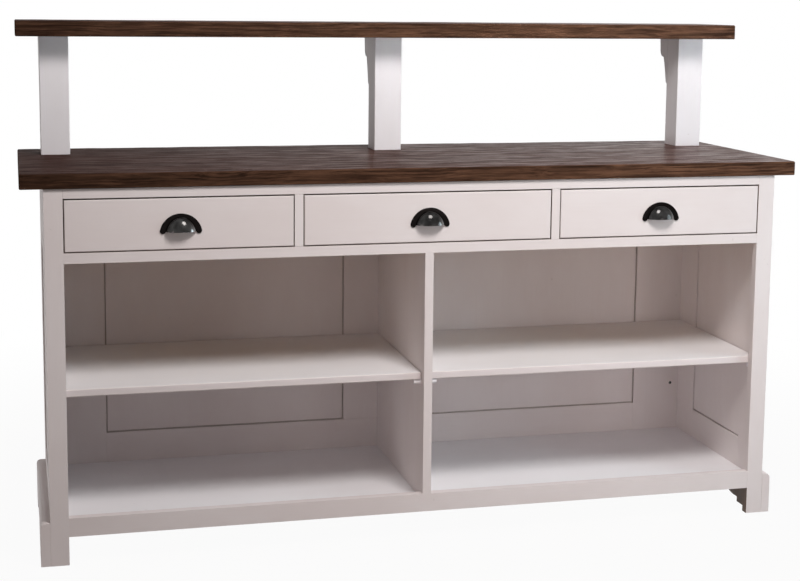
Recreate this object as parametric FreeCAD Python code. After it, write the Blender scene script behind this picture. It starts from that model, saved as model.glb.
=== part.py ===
import FreeCAD, Part
import math
import os

# Driving sizes in millimetres

top_width = 1800.0
top_depth = 581.0
top_thick = 33.0
top_front_over = 6.0
top_back_over = 92.0
top_side_over = 50.0
top_round = 3.0

front_thick = 20.0
side_thick = 20.0
back_thick = 22.0
front_stile_w = 40.0

foot_h = 64.0
bottom_rail_h = 42.0
compartment_h = 564.0
middle_rail_h = 23.0
drawer_open_h = 117.0
top_rail_h = 22.0

muntin_w = 20.0
side_drawer_open = 500.0
divider_thick = 20.0
floor_thick = 18.0
floor_drop = 16.0

side_front_sight = 96.0
side_rear_stile_w = 120.0
panel_low_up = 75.0
panel_high_drop = 5.0
back_stile_w = 129.0
back_mid_stile_w = 200.0
tongue_thick = 8.0
tongue_deep = 8.0
groove_slack = 1.0
field_thick = 16.0
field_gap = 3.0
tenon_thick = 8.0
tenon_long = 24.0
tenon_shoulder = 12.0
stub = 8.0

plinth_thick = 21.0
plinth_h = 98.0
plinth_round = 13.0
foot_long = 90.0
foot_step = 12.0
foot_run = 96.0
arch_h = 50.0

post_w = 68.0
post_d = 70.0
post_h = 281.0
post_end_in = 54.0
post_round = 2.0
post_tenon = 20.0
corbel_reach = 50.0
corbel_h = 121.0

bar_depth = 260.0
bar_thick = 36.0
bar_front_over = 76.0
bar_round = 4.0

shelf_thick = 17.0
shelf_set_back = 21.0
shelf_up = 282.0
shelf_slack = 1.0
shelf_back_slack = 5.0
pin_dia = 12.0
pin_out = 17.0
pin_in = 8.0
pin_front_y = 30.0
pin_rear_in = 49.0
rest_gap = 0.3

drawer_gap = 2.0
drawer_top_gap = 3.0
drawer_front_thick = 18.0
drawer_side_thick = 12.0
drawer_side_h = 110.0
drawer_back_room = 23.0
drawer_bottom_thick = 5.0
drawer_bottom_up = 10.0
drawer_groove = 6.0
drawer_play = 1.5
run_gap = 0.4
front_ease = 1.5

runner_w = 40.0
runner_thick = 20.0
guide_h = 62.0
guide_play = 0.6

pull_radius = 46.7
pull_band = 13.0
pull_plate = 2.6
pull_reach = 23.0
pull_wall = 2.0
dome_bands = 6
dome_gores = 48
hollow_bands = 2
hollow_gores = 20
pull_tip_up = 9.0
pull_lip_up = 7.5
boss_dia = 9.0
boss_out = 13.0
boss_x = 20.0
boss_up = 16.0
screw_dia = 4.0
screw_play = 0.05
screw_room = 0.3
screw_head_dia = 8.0
screw_head_h = 2.6
screw_bite = 8.0
cable_hole_dia = 8.0
cable_hole_up = 125.0
cable_hole_in = 23.0

# Levels and positions that follow from the sizes

V = FreeCAD.Vector
case_depth = top_depth - top_front_over - top_back_over
half = top_width / 2 - top_side_over
post_offset = top_width / 2 - post_end_in - post_w / 2
rail_low = foot_h
rail_high = rail_low + bottom_rail_h
floor_top = rail_high - floor_drop
middle_low = rail_high + compartment_h
runner_top = middle_low + middle_rail_h
open_top = runner_top + drawer_open_h
top_low = open_top + top_rail_h
top_high = top_low + top_thick
bar_low = top_high + post_h
bar_high = bar_low + bar_thick
opening = half - front_stile_w
inner = half - side_thick
back_front = case_depth - back_thick
muntin_in = opening - side_drawer_open - muntin_w
muntin_mid = muntin_in + muntin_w / 2
post_front = case_depth - post_d
side_rear_sight = case_depth - side_rear_stile_w
panel_low_sight = floor_top + panel_low_up
panel_high_sight = runner_top - runner_thick - panel_high_drop
shelf_low = floor_top + shelf_up
pin_rear_y = back_front - pin_rear_in
drawer_long = back_front - drawer_back_room - drawer_front_thick
bar_front = post_front - bar_front_over
pull_mid = runner_top + drawer_open_h / 2
pull_centre = pull_mid - (pull_radius + pull_tip_up - pull_band / 2) / 2
bar_back = bar_front + bar_depth
dome_radius = pull_radius - pull_band + pull_wall
ball_radius = (dome_radius ** 2 + pull_reach ** 2) / (2 * pull_reach)
band_turn = math.acos(1 - pull_reach / ball_radius) / dome_bands
band_radius = ball_radius * math.sin(band_turn)
band_drop = ball_radius * (1 - math.cos(band_turn))
pull_front = pull_reach - band_drop * pull_lip_up / band_radius
shift = V(0, (pull_front - bar_back) / 2, 0)

os.makedirs("parts", exist_ok=True)


def box(x0, x1, y0, y1, z0, z1):
    return Part.makeBox(x1 - x0, y1 - y0, z1 - z0, V(x0, y0, z0))


def rod(radius, start, along, length):
    return Part.makeCylinder(radius, length, start, along)


def save(node, shape):
    out = shape.copy()
    out.translate(shift)
    out.exportStep("parts/" + node + ".step")


def mirrored(shape):
    return shape.mirror(V(0, 0, 0), V(1, 0, 0))


def rim(shape, axis, level):
    edges = []
    for edge in shape.Edges:
        if all(abs(getattr(v.Point, axis) - level) < 0.01 for v in edge.Vertexes):
            edges.append(edge)
    return edges


# Worktop with sockets for the posts, and the bar shelf above

post_places = [-post_offset, 0.0, post_offset]
post_names = ["left", "mid", "right"]


def post_socket(x, z0, z1):
    inset = post_w / 4
    y0 = post_front + post_d / 4
    y1 = post_front + post_d * 3 / 4
    return box(x - inset, x + inset, y0, y1, z0, z1)


worktop = box(-top_width / 2, top_width / 2, -top_front_over, top_depth - top_front_over, top_low, top_high)
worktop = worktop.makeFillet(top_round, rim(worktop, "z", top_high))
bar_shelf = box(-top_width / 2, top_width / 2, bar_front, bar_back, bar_low, bar_high)
bar_shelf = bar_shelf.makeFillet(bar_round, rim(bar_shelf, "z", bar_high))
for place in post_places:
    worktop = worktop.cut(post_socket(place, top_high - post_tenon, top_high + 1))
    bar_shelf = bar_shelf.cut(post_socket(place, bar_low - 1, bar_low + post_tenon))
save("worktop", worktop)
save("bar_shelf", bar_shelf)

# Posts with a tenon at both ends


def post(x):
    body = box(x - post_w / 2, x + post_w / 2, post_front, case_depth, top_high, bar_low)
    front = []
    for edge in body.Edges:
        ends = [v.Point for v in edge.Vertexes]
        upright = abs(ends[0].z - ends[1].z) > 1
        if upright and abs(ends[0].y - post_front) < 0.01:
            front.append(edge)
    body = body.makeFillet(post_round, front)
    body = body.fuse(post_socket(x, top_high - post_tenon, top_high))
    return body.fuse(post_socket(x, bar_low, bar_low + post_tenon))


# Corbel: a rounded lip, a small step, then a cove that dies into the back of the post


def corbel(x):
    def at(reach, down):
        return V(x - post_w / 2, case_depth + corbel_reach * reach, bar_low - corbel_h * down)

    outline = [
        Part.makeLine(at(0, 0), at(1, 0)),
        Part.makeLine(at(1, 0), at(0.94, 0.25)),
        Part.Arc(at(0.94, 0.25), at(0.86, 0.36), at(0.64, 0.42)).toShape(),
        Part.makeLine(at(0.64, 0.42), at(0.50, 0.42)),
        Part.Arc(at(0.50, 0.42), at(0.29, 0.70), at(0.16, 0.93)).toShape(),
        Part.Arc(at(0.16, 0.93), at(0.10, 0.975), at(0, 1)).toShape(),
        Part.makeLine(at(0, 1), at(0, 0)),
    ]
    return Part.Face(Part.Wire(outline)).extrude(V(post_w, 0, 0))


for place, name in zip(post_places, post_names):
    save("post_" + name, post(place))
    save("corbel_" + name, corbel(place))

# Front frame: two stiles down to the floor, three rails, two muntins between the drawers


def rail_tenon(z0, z1, x0, x1):
    y0 = (front_thick - tenon_thick) / 2
    margin = min(tenon_shoulder, (z1 - z0) / 5)
    return box(x0, x1, y0, y0 + tenon_thick, z0 + margin, z1 - margin)


def muntin_stub(x, z0, z1):
    y0 = (front_thick - tenon_thick) / 2
    return box(x - muntin_w / 4, x + muntin_w / 4, y0, y0 + tenon_thick, z0, z1)


def floor_tongue():
    return box(-opening, opening, front_thick - stub, front_thick, floor_top - floor_thick, floor_top)


rails = {
    "bottom_rail": (rail_low, rail_high),
    "middle_rail": (middle_low, runner_top),
    "top_rail": (open_top, top_low),
}
stile = box(-half, -opening, 0, front_thick, 0, top_low)
for low, high in rails.values():
    stile = stile.cut(rail_tenon(low, high, -opening - tenon_long, -opening))
save("front_stile_left", stile)
save("front_stile_right", mirrored(stile))


def runner_tenon(x):
    z1 = runner_top - stub - 1
    z0 = z1 - runner_thick * 0.4
    return box(x - runner_w / 4, x + runner_w / 4, front_thick - stub, front_thick, z0, z1)


for node, (low, high) in rails.items():
    rail = box(-opening, opening, 0, front_thick, low, high)
    rail = rail.fuse(rail_tenon(low, high, -opening - tenon_long, -opening))
    rail = rail.fuse(rail_tenon(low, high, opening, opening + tenon_long))
    if node == "bottom_rail":
        rail = rail.cut(floor_tongue())
        rail = rail.cut(muntin_stub(0, rail_high - stub, rail_high))
    if node == "middle_rail":
        rail = rail.cut(muntin_stub(0, middle_low, middle_low + stub))
        for x in (-muntin_mid, muntin_mid):
            rail = rail.cut(muntin_stub(x, runner_top - stub, runner_top))
            rail = rail.cut(runner_tenon(x))
    if node == "top_rail":
        for x in (-muntin_mid, muntin_mid):
            rail = rail.cut(muntin_stub(x, open_top, open_top + stub))
    save(node, rail)

muntins = []
for x in (-muntin_mid, muntin_mid):
    muntin = box(x - muntin_w / 2, x + muntin_w / 2, 0, front_thick, runner_top, open_top)
    muntins.append(muntin.fuse(muntin_stub(x, runner_top - stub, open_top + stub)))
save("drawer_muntins", Part.makeCompound(muntins))

# Inside: centre divider, floor, runners and kickers of the drawers, shelf pins

divider_half = divider_thick / 2
pin_level = shelf_low - rest_gap - pin_dia / 2


def pin(x, y, towards):
    return rod(pin_dia / 2, V(x - towards * pin_in, y, pin_level), V(towards, 0, 0), pin_in + pin_out)


pins = []
for y in (pin_front_y, pin_rear_y):
    for x, towards in ((-inner, 1), (-divider_half, -1), (divider_half, 1), (inner, -1)):
        pins.append(pin(x, y, towards))
save("shelf_pins", Part.makeCompound(pins))

divider = box(-divider_half, divider_half, 0, back_front, rail_high, middle_low)
divider = divider.fuse(box(-divider_half, divider_half, front_thick, back_front, floor_top, rail_high))
divider = divider.fuse(box(-divider_half, divider_half, front_thick, back_front, middle_low, runner_top - stub))
divider = divider.fuse(muntin_stub(0, rail_high - stub, middle_low + stub))
for one in pins:
    divider = divider.cut(one)
save("centre_divider", divider.removeSplitter())

floor = box(-inner, inner, front_thick, back_front, floor_top - floor_thick, floor_top)
floor = floor.fuse(floor_tongue())
save("floor_panel", floor.removeSplitter())

guide_half = muntin_w / 2 + drawer_gap - guide_play
guides = []
kickers = []
for sign in (-1, 1):
    outer = sorted((sign * inner, sign * (inner - runner_w)))
    wall = sorted((sign * inner, sign * (opening + guide_half - muntin_w / 2)))
    base = box(outer[0], outer[1], front_thick, back_front, runner_top - runner_thick, runner_top)
    fence = box(wall[0], wall[1], front_thick, back_front, runner_top, runner_top + guide_h)
    guides.append(base.fuse(fence).removeSplitter())
    x = sign * muntin_mid
    base = box(x - runner_w, x + runner_w, front_thick, back_front, runner_top - runner_thick, runner_top)
    fence = box(x - guide_half, x + guide_half, front_thick, back_front, runner_top, runner_top + guide_h)
    guides.append(base.fuse(fence).fuse(runner_tenon(x)).removeSplitter())
    kickers.append(box(x - runner_w, x + runner_w, front_thick, back_front, open_top, top_low))
save("drawer_runners", Part.makeCompound(guides))
save("drawer_kickers", Part.makeCompound(kickers))

# Foot cut-out: a flat foot, a small step, then a rising curve up to a straight run


def arch(length, place):
    def at(s, z):
        return place(s, z)

    start = foot_long + foot_step * 0.7
    end = foot_long + foot_run
    mid = start + (end - start) * 0.62
    mid_z = foot_step + (arch_h - foot_step) * 0.28
    outline = [
        Part.makeLine(at(foot_long, -1), at(foot_long, foot_step)),
        Part.makeLine(at(foot_long, foot_step), at(start, foot_step)),
        Part.Arc(at(start, foot_step), at(mid, mid_z), at(end, arch_h)).toShape(),
        Part.makeLine(at(end, arch_h), at(length - end, arch_h)),
        Part.Arc(at(length - end, arch_h), at(length - mid, mid_z), at(length - start, foot_step)).toShape(),
        Part.makeLine(at(length - start, foot_step), at(length - foot_long, foot_step)),
        Part.makeLine(at(length - foot_long, foot_step), at(length - foot_long, -1)),
        Part.makeLine(at(length - foot_long, -1), at(foot_long, -1)),
    ]
    return Part.Face(Part.Wire(outline))


plinth_out = half + plinth_thick
plinth_back = case_depth + plinth_thick


def side_place(s, z):
    return V(-plinth_out - 1, s, z)


def back_place(s, z):
    return V(s - plinth_out, case_depth - back_thick - 1, z)


side_arch = arch(plinth_back, side_place).extrude(V(plinth_thick + side_thick + 2, 0, 0))
back_arch = arch(2 * plinth_out, back_place).extrude(V(0, plinth_thick + back_thick + 2, 0))


def mitre_wedge():
    corners = [
        V(-half, case_depth, -1),
        V(-plinth_out - 1, plinth_back + 1, -1),
        V(-half, plinth_back + 1, -1),
        V(-half, case_depth, -1),
    ]
    return Part.Face(Part.makePolygon(corners)).extrude(V(0, 0, plinth_h + 2))


def round_top(shape, axis, value):
    edges = []
    for edge in shape.Edges:
        points = [v.Point for v in edge.Vertexes]
        high = all(abs(p.z - plinth_h) < 0.01 for p in points)
        if high and all(abs(getattr(p, axis) - value) < 0.01 for p in points):
            edges.append(edge)
    return shape.makeFillet(plinth_round, edges)


wedge = mitre_wedge()
plinth_side = box(-plinth_out, -half, 0, plinth_back, 0, plinth_h)
plinth_side = round_top(plinth_side, "x", -plinth_out)
plinth_side = plinth_side.cut(wedge).cut(side_arch)
save("plinth_left", plinth_side)
save("plinth_right", mirrored(plinth_side))

rear = box(-plinth_out, plinth_out, case_depth, plinth_back, 0, plinth_h)
rear = round_top(rear, "y", plinth_back)
corner_off = box(-plinth_out - 2, -half, case_depth - 1, plinth_back + 2, -2, plinth_h + 2).cut(wedge)
rear = rear.cut(corner_off).cut(mirrored(corner_off)).cut(back_arch)
save("plinth_back", rear)

# Framed panels: the tongue of a panel sits in grooves, rails are tenoned into stiles

reach_in = tongue_deep + groove_slack


def side_frame():
    mid = -half + side_thick / 2
    t0 = mid - tongue_thick / 2
    t1 = mid + tongue_thick / 2
    f0 = mid - field_thick / 2
    f1 = mid + field_thick / 2
    a = side_front_sight
    b = side_rear_sight
    groove = box(t0, t1, a - reach_in, b + reach_in, panel_low_sight - reach_in, panel_high_sight + reach_in)
    low = box(-half, -inner, a, b, 0, panel_low_sight)
    high = box(-half, -inner, a, b, panel_high_sight, top_low)
    low_ten = (plinth_h - tenon_shoulder, panel_low_sight - tenon_shoulder)
    high_ten = (panel_high_sight + tenon_shoulder, top_low - tenon_shoulder)
    front = box(-half, -inner, front_thick, a, 0, top_low).cut(groove)
    back = box(-half, -inner, b, case_depth, 0, top_low).cut(groove)
    low = low.cut(groove)
    high = high.cut(groove)
    for z0, z1 in (low_ten, high_ten):
        front = front.cut(box(t0, t1, a - tenon_long, a, z0, z1))
        back = back.cut(box(t0, t1, b, b + tenon_long, z0, z1))
    low = low.fuse(box(t0, t1, a - tenon_long, a, *low_ten)).fuse(box(t0, t1, b, b + tenon_long, *low_ten))
    high = high.fuse(box(t0, t1, a - tenon_long, a, *high_ten)).fuse(box(t0, t1, b, b + tenon_long, *high_ten))
    for one in pins:
        front = front.cut(one)
        back = back.cut(one)
    panel = box(t0, t1, a - tongue_deep, b + tongue_deep, panel_low_sight - tongue_deep,
                panel_high_sight + tongue_deep)
    panel = panel.fuse(box(f0, f1, a + field_gap, b - field_gap, panel_low_sight + field_gap,
                           panel_high_sight - field_gap))
    return {
        "front_stile": front.cut(side_arch),
        "rear_stile": back.cut(side_arch),
        "bottom_rail": low.cut(side_arch),
        "top_rail": high,
        "panel": panel,
    }


for piece, shape in side_frame().items():
    save("side_left_" + piece, shape)
    save("side_right_" + piece, mirrored(shape))

mid_y = case_depth - back_thick / 2
tongue_y = (mid_y - tongue_thick / 2, mid_y + tongue_thick / 2)
field_y = (mid_y - field_thick / 2, mid_y + field_thick / 2)
sight_out = inner - back_stile_w
sight_in = back_mid_stile_w / 2
back_low = foot_h
low_ten = (back_low + tenon_shoulder, panel_low_sight - tenon_shoulder)
high_ten = (panel_high_sight + tenon_shoulder, top_low - tenon_shoulder)
bays = ((-sight_out, -sight_in), (sight_in, sight_out))
back_bottom = box(-sight_out, sight_out, back_front, case_depth, back_low, panel_low_sight)
back_top = box(-sight_out, sight_out, back_front, case_depth, panel_high_sight, top_low)
back_mid = box(-sight_in, sight_in, back_front, case_depth, panel_low_sight, panel_high_sight)
back_stile = box(-inner, -sight_out, back_front, case_depth, back_low, top_low)
for x0, x1 in bays:
    groove = box(x0 - reach_in, x1 + reach_in, *tongue_y, panel_low_sight - reach_in, panel_high_sight + reach_in)
    back_bottom = back_bottom.cut(groove)
    back_top = back_top.cut(groove)
    back_mid = back_mid.cut(groove)
    back_stile = back_stile.cut(groove)
mid_tenon = (-sight_in + 2 * reach_in, sight_in - 2 * reach_in)
for z0, z1 in ((panel_low_sight - tenon_long, panel_low_sight), (panel_high_sight, panel_high_sight + tenon_long)):
    tenon = box(*mid_tenon, *tongue_y, z0, z1)
    back_mid = back_mid.fuse(tenon)
    back_bottom = back_bottom.cut(tenon)
    back_top = back_top.cut(tenon)
for sign in (-1, 1):
    ends = sorted((sign * sight_out, sign * (sight_out + tenon_long)))
    low_tenon = box(*ends, *tongue_y, *low_ten)
    high_tenon = box(*ends, *tongue_y, *high_ten)
    back_bottom = back_bottom.fuse(low_tenon)
    back_top = back_top.fuse(high_tenon)
    if sign < 0:
        back_stile = back_stile.cut(low_tenon).cut(high_tenon)
right_stile = mirrored(back_stile)
hole_at = V(inner - cable_hole_in, back_front - 1, floor_top + cable_hole_up)
right_stile = right_stile.cut(rod(cable_hole_dia / 2, hole_at, V(0, 1, 0), back_thick + 2))
save("back_stile_left", back_stile)
save("back_stile_right", right_stile)
save("back_stile_mid", back_mid)
save("back_rail_bottom", back_bottom)
save("back_rail_top", back_top)
for (x0, x1), name in zip(bays, ("left", "right")):
    panel = box(x0 - tongue_deep, x1 + tongue_deep, *tongue_y, panel_low_sight - tongue_deep,
                panel_high_sight + tongue_deep)
    panel = panel.fuse(box(x0 + field_gap, x1 - field_gap, *field_y, panel_low_sight + field_gap,
                           panel_high_sight - field_gap))
    save("back_panel_" + name, panel)

# Loose shelves that lie on the pins

for name, x0, x1 in (("left", -inner, -divider_half), ("right", divider_half, inner)):
    board = box(x0 + shelf_slack, x1 - shelf_slack, shelf_set_back, back_front - shelf_back_slack,
                shelf_low, shelf_low + shelf_thick)
    save("shelf_" + name, board.makeChamfer(front_ease, rim(board, "y", shelf_set_back)))

# Cup pull: an arched plate with rounded tips, a hollow dome in flat gores and two bosses for the screws


def dome(x, wall, bands, gores):
    ball = ball_radius - wall
    centre_y = ball_radius - pull_reach
    turn = math.acos(centre_y / ball) / bands

    def corner(band, gore):
        out = ball * math.sin(turn * band)
        angle = 2 * math.pi * gore / gores
        return V(x + out * math.cos(angle), centre_y - ball * math.cos(turn * band),
                 pull_centre + out * math.sin(angle))

    faces = []
    for gore in range(gores):
        for band in range(bands):
            points = [corner(band + 1, gore), corner(band + 1, gore + 1), corner(band, gore + 1)]
            if band > 0:
                points.append(corner(band, gore))
            faces.append(Part.Face(Part.makePolygon(points + points[:1])))
    rim = [corner(bands, gore) for gore in range(gores)]
    faces.append(Part.Face(Part.makePolygon(rim + rim[:1])))
    bowl = Part.Solid(Part.Shell(faces))
    if bowl.Volume < 0:
        bowl.reverse()
    wide = 2 * ball_radius
    return bowl.common(box(x - wide, x + wide, -wide, 0, pull_centre + pull_lip_up, pull_centre + wide))


def screw_hole(x, sign, room):
    start = V(x + sign * boss_x, -screw_bite - room, pull_centre + boss_up)
    return rod(screw_dia / 2 + room, start, V(0, 1, 0), screw_bite + drawer_front_thick + 2 * room)


def pull_screw(x, sign):
    seat = V(x + sign * boss_x, drawer_front_thick, pull_centre + boss_up)
    head = rod(screw_head_dia / 2, seat, V(0, 1, 0), screw_head_h)
    return screw_hole(x, sign, 0).fuse(head).removeSplitter()


def pull(x):
    inside = pull_radius - pull_band
    up = V(x, -pull_plate, pull_centre)
    plate = rod(pull_radius, up, V(0, 1, 0), pull_plate).cut(rod(inside, up, V(0, 1, 0), pull_plate))
    wide = pull_radius + 1
    below = box(x - wide, x + wide, -pull_reach - 1, 1, pull_centre - wide, pull_centre + pull_tip_up)
    plate = plate.cut(below)
    middle = pull_radius - pull_band / 2
    tip_x = (middle ** 2 - pull_tip_up ** 2) ** 0.5
    for sign in (-1, 1):
        tip = V(x + sign * tip_x, -pull_plate, pull_centre + pull_tip_up)
        plate = plate.fuse(rod(pull_band / 2, tip, V(0, 1, 0), pull_plate))
    body = dome(x, 0, dome_bands, dome_gores)
    bosses = []
    for sign in (-1, 1):
        foot = V(x + sign * boss_x, -boss_out, pull_centre + boss_up)
        bosses.append(rod(boss_dia / 2, foot, V(0, 1, 0), boss_out).common(body))
    body = body.cut(dome(x, pull_wall, hollow_bands, hollow_gores)).fuse(bosses).fuse(plate).removeSplitter()
    for sign in (-1, 1):
        body = body.cut(screw_hole(x, sign, screw_play))
    return body


# Drawers: front with housings for the sides, back between the sides, bottom in grooves


def drawer(name, x0, x1):
    middle = (x0 + x1) / 2
    left = x0 + drawer_gap
    right = x1 - drawer_gap
    low = runner_top + run_gap
    side_left = left + drawer_play
    side_right = right - drawer_play
    back_y = drawer_front_thick + drawer_long
    base = low + drawer_bottom_up
    front_low = runner_top + drawer_gap
    front = box(left, right, 0, drawer_front_thick, front_low, open_top - drawer_top_gap)
    front = front.makeChamfer(front_ease, rim(front, "y", 0))
    house_y = drawer_front_thick - drawer_groove
    cell = box(side_left + drawer_side_thick - drawer_groove, side_right - drawer_side_thick + drawer_groove,
               house_y, back_y, base, base + drawer_bottom_thick)
    boards = []
    for a in (side_left, side_right - drawer_side_thick):
        b = a + drawer_side_thick
        board = box(a, b, drawer_front_thick, back_y, low, low + drawer_side_h)
        board = board.fuse(box(a, b, house_y, drawer_front_thick, base, low + drawer_side_h))
        front = front.cut(box(a, b, house_y, drawer_front_thick, base, low + drawer_side_h))
        boards.append(board.removeSplitter().cut(cell))
    front = front.cut(cell)
    for sign in (-1, 1):
        front = front.cut(screw_hole(middle, sign, screw_room))
    rear = box(side_left + drawer_side_thick, side_right - drawer_side_thick, back_y - drawer_side_thick, back_y,
               base + drawer_bottom_thick, low + drawer_side_h - drawer_groove)
    screws = [pull_screw(middle, sign) for sign in (-1, 1)]
    save(name + "_front", front)
    save(name + "_sides", Part.makeCompound(boards))
    save(name + "_back", rear)
    save(name + "_bottom", cell)
    save(name + "_pull", pull(middle))
    save(name + "_screws", Part.makeCompound(screws))


drawer("drawer_left", -opening, -opening + side_drawer_open)
drawer("drawer_mid", -muntin_in, muntin_in)
drawer("drawer_right", opening - side_drawer_open, opening)
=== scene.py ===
import math
import bmesh
import bpy
from mathutils import Matrix, Vector, noise


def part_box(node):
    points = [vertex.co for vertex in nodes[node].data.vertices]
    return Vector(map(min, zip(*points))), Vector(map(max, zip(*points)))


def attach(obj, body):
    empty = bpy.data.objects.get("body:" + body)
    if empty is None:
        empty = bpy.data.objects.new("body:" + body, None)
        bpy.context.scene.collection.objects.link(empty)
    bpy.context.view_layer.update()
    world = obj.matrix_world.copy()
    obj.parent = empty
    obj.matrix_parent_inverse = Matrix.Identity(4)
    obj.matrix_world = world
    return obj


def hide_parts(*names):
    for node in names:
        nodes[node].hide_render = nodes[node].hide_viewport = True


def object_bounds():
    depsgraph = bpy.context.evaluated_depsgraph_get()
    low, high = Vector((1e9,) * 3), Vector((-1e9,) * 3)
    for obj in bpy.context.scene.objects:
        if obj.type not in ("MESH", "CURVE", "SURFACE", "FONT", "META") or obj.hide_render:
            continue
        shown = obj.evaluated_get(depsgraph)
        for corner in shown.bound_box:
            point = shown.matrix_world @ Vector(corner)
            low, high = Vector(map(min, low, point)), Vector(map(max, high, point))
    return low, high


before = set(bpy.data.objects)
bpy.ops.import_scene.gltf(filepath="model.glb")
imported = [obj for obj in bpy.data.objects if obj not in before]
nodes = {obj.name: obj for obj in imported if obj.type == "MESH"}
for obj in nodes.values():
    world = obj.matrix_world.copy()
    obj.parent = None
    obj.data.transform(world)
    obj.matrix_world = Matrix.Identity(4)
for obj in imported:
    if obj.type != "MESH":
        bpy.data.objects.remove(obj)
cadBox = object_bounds()
scene = bpy.context.scene
scene.view_settings.view_transform = "Standard"

# camera at the photograph's place, picture taken as 800 by 581
photoView = {
    "pictureWidth": 800,                     # pixels
    "place": (-0.90494, -3.60621, 1.22783),
    "yaw": 14.116,                           # degrees to the right
    "pitch": -7.644,
    "roll": 0.55,
    "focalPixels": 1538.24,
    "shiftDown": -0.10,                      # share of the picture's width
    "sensor": 36.0,                          # millimetres
    "farthest": 200.0,
}


def placeCamera(v):
    yaw, pitch, roll = (math.radians(v[k]) for k in ("yaw", "pitch", "roll"))
    level, up = Vector((math.sin(yaw), math.cos(yaw), 0)), Vector((0, 0, 1))
    right = Vector((math.cos(yaw), -math.sin(yaw), 0))
    ahead = level * math.cos(pitch) + up * math.sin(pitch)
    up = up * math.cos(pitch) - level * math.sin(pitch)
    right, up = right * math.cos(roll) + up * math.sin(roll), up * math.cos(roll) - right * math.sin(roll)
    lens = bpy.data.cameras.new("photoCamera")
    lens.sensor_fit = "HORIZONTAL"
    lens.sensor_width = v["sensor"]
    lens.lens = v["focalPixels"] * v["sensor"] / v["pictureWidth"]
    lens.shift_y = v["shiftDown"]
    lens.clip_end = v["farthest"]
    camera = bpy.data.objects.new("photoCamera", lens)
    scene.collection.objects.link(camera)
    turn = Matrix((right, up, -ahead)).transposed().to_4x4()
    camera.matrix_world = Matrix.Translation(v["place"]) @ turn
    scene.camera = camera


placeCamera(photoView)
print("camera placed")


# short hands for node trees
def addNode(tree, kind, inputs=None, **settings):
    node = tree.nodes.new(kind)
    for name, value in settings.items():
        setattr(node, name, value)
    for name, value in (inputs or {}).items():
        if isinstance(value, bpy.types.NodeSocket):
            tree.links.new(value, node.inputs[name])
        else:
            node.inputs[name].default_value = value
    return node


def mathNode(tree, operation, a, b=0.0):
    return addNode(tree, "ShaderNodeMath", {0: a, 1: b}, operation=operation).outputs[0]


def product(tree, *factors):
    whole = factors[0]
    for factor in factors[1:]:
        whole = mathNode(tree, "MULTIPLY", whole, factor)
    return whole


def absolute(tree, value):
    return mathNode(tree, "ABSOLUTE", value)


def below(tree, value, limit):
    return mathNode(tree, "LESS_THAN", value, limit)


def above(tree, value, limit):
    return mathNode(tree, "GREATER_THAN", value, limit)


def vectorNode(tree, operation, a, b):
    return addNode(tree, "ShaderNodeVectorMath", {0: a, 1: b}, operation=operation).outputs[0]


def scaled(tree, vector, factor):
    return addNode(tree, "ShaderNodeVectorMath", {0: vector, "Scale": factor}, operation="SCALE").outputs[0]


def combine(tree, **parts):
    return addNode(tree, "ShaderNodeCombineXYZ", parts).outputs[0]


def axesOf(tree, vector):
    return addNode(tree, "ShaderNodeSeparateXYZ", {0: vector}).outputs


def surfaceNormal(tree):
    return axesOf(tree, tree.nodes.new("ShaderNodeNewGeometry").outputs["Normal"])


def objectPlace(tree):
    return axesOf(tree, tree.nodes.new("ShaderNodeTexCoord").outputs["Object"])


def noiseAt(tree, place, scale, detail=3.0, rough=0.55):
    inputs = {"Vector": place, "Scale": scale, "Detail": detail, "Roughness": rough}
    return addNode(tree, "ShaderNodeTexNoise", inputs).outputs[0]


def stretchedNoise(tree, place, perMetre, detail=3.0, rough=0.55):
    return noiseAt(tree, vectorNode(tree, "MULTIPLY", place, perMetre), 1.0, detail, rough)


def between(tree, value, low, high, toLow=0.0, toHigh=1.0, smooth=True):
    node = addNode(tree, "ShaderNodeMapRange", {0: value, 1: low, 2: high, 3: toLow, 4: toHigh})
    if smooth:
        node.interpolation_type = "SMOOTHSTEP"
    return node.outputs[0]


def mixColours(tree, factor, a, b):
    a, b = ((*c, 1.0) if isinstance(c, tuple) else c for c in (a, b))
    return addNode(tree, "ShaderNodeMix", {0: factor, 6: a, 7: b}, data_type="RGBA").outputs[2]


def newGroup(name, sliders, results):
    # every group takes a Place and some sliders, and gives plain values
    tree = bpy.data.node_groups.new(name, "ShaderNodeTree")
    tree.interface.new_socket(name="Place", in_out="INPUT", socket_type="NodeSocketVector")
    for label, value in sliders.items():
        slider = tree.interface.new_socket(name=label, in_out="INPUT", socket_type="NodeSocketFloat")
        slider.default_value = value
    for label in results:
        tree.interface.new_socket(name=label, in_out="OUTPUT", socket_type="NodeSocketFloat")
    return tree, tree.nodes.new("NodeGroupInput").outputs, tree.nodes.new("NodeGroupOutput").inputs


def giveOut(tree, results, **values):
    for label, value in values.items():
        tree.links.new(value, results[label])
    return tree


def placeGroup(tree, group, **inputs):
    return addNode(tree, "ShaderNodeGroup", inputs, node_tree=group).outputs


# shared effects: x of Place runs along the grain, counts are per metre along and across it
grainShape = {
    "sway": (2.2, 9.0, 9.0),
    "swayReach": 0.05,
    "figure": (1.1, 34.0, 34.0),
    "streak": (3.5, 150.0, 150.0),
    "pores": (16.0, 520.0, 520.0),
    "poreSpan": (0.56, 0.68),
    "figureRelief": 0.4,
    "poreRelief": 0.6,
}
filmShape = {"patch": (2.6, 6.0, 6.0), "brush": (5.0, 210.0, 210.0), "speck": 900.0}
rubShape = {"cloud": 60.0, "scuff": (90.0, 420.0, 300.0), "scuffSpan": (0.52, 0.72), "pit": 1100.0}


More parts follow.
